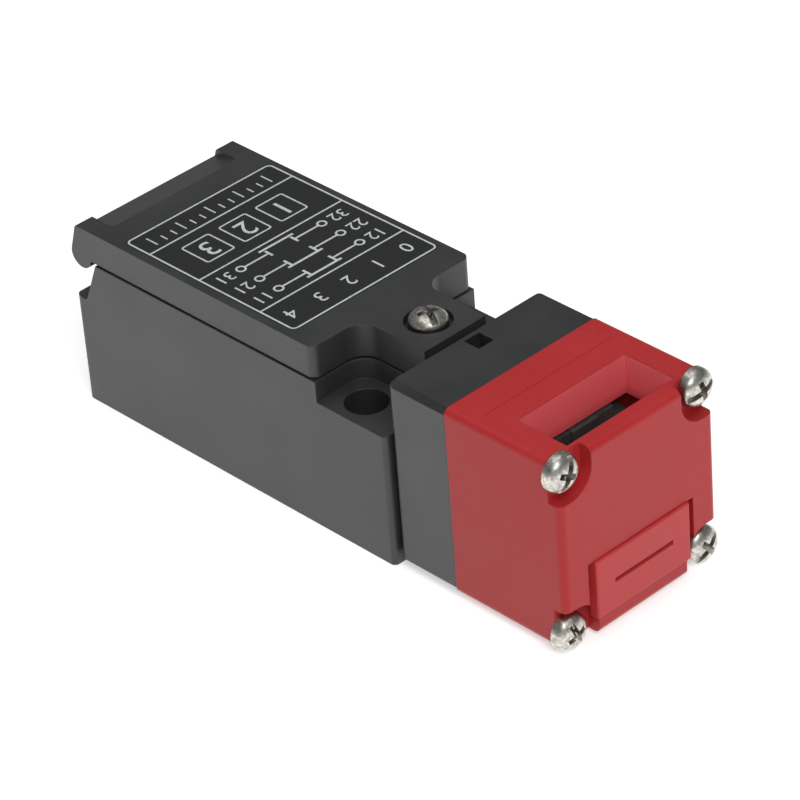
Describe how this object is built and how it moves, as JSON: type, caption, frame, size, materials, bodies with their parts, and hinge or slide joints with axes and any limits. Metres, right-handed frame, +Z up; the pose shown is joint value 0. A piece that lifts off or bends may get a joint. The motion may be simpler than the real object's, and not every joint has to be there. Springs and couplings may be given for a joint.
{
  "type": "tongue interlock switch",
  "caption": "Slim door safety switch: black case with a hinged cover, and a red head whose keyed slot turns an inner cam that drives a plunger and a contact block.",
  "frame": {"origin": "middle of the length and width, on the mounting face", "axes": "+X across the body, +Y towards the cable entry (the key head is at -Y), +Z up from the mounting face"},
  "size_m": [0.0308, 0.0952, 0.0309],
  "materials": {
    "black_nylon": "fine grained",
    "red_nylon": "satin",
    "black_acetal": "smooth",
    "grey_polyamide": "satin",
    "seal_rubber": "matte",
    "zinc_steel": "bright zinc plate",
    "stainless_steel": "satin",
    "spring_steel": "drawn wire",
    "brass": "turned",
    "copper_alloy": "rolled",
    "silver": "satin"
  },
  "bodies": {
    "housing": {"case": "black_nylon", "threaded_insert": "brass", "head_base": "black_nylon", "base_seal": "seal_rubber", "base_screws": "zinc_steel", "head_housing": "red_nylon", "head_screws": "stainless_steel", "cam_pin": "stainless_steel", "plunger_spring": "spring_steel", "plunger_seal": "seal_rubber", "contact_block": "grey_polyamide", "block_lid": "grey_polyamide", "block_screws": "zinc_steel", "slider_spring": "spring_steel", "fixed_tips": "silver", "clamp_washers": "zinc_steel", "terminal_screws": "zinc_steel", "terminal_11": "brass", "terminal_12": "brass", "terminal_21": "brass", "terminal_22": "brass", "terminal_31": "brass", "terminal_32": "brass"},
    "operating_cam": {"operating_cam": "black_acetal"},
    "plunger": {"head_plunger": "black_acetal"},
    "slider": {"contact_slider": "black_acetal", "moving_tips": "silver", "contact_bridge_1": "copper_alloy", "contact_bridge_2": "copper_alloy", "contact_bridge_3": "copper_alloy", "contact_spring_1": "spring_steel", "contact_spring_2": "spring_steel", "contact_spring_3": "spring_steel"},
    "cover": {"cover": "black_nylon", "cover_gasket": "seal_rubber", "cover_screw": "stainless_steel", "cover_screw_seal": "seal_rubber"},
    "slot_plug": {"slot_plug": "red_nylon"}
  },
  "joints": [
    {"name": "cam_turn", "type": "hinge", "parent": "housing", "child": "operating_cam", "pos_m": [0, -0.0348, 0.01545], "axis": [1, 0, 0], "range_deg": [0, 50]},
    {"name": "plunger_slide", "type": "slide", "parent": "housing", "child": "plunger", "axis": [0, -1, 0], "range_m": [0, 0.0025], "deforming": ["plunger_spring"]},
    {"name": "slider_slide", "type": "slide", "parent": "housing", "child": "slider", "axis": [0, -1, 0], "range_m": [0, 0.0025], "deforming": ["slider_spring"]},
    {"name": "cover_swing", "type": "hinge", "parent": "housing", "child": "cover", "pos_m": [0, 0.04555, 0.0247], "axis": [-1, 0, 0], "range_deg": [0, 90]},
    {"name": "plug_pull", "type": "slide", "parent": "housing", "child": "slot_plug", "axis": [0, -1, 0], "range_m": [0, 0.008]}
  ],
  "couplings": [
    {"joint": "cam_turn", "follows": "plunger_slide", "rad_per_m": 349.07},
    {"joint": "slider_slide", "follows": "plunger_slide", "ratio": 1}
  ]
}
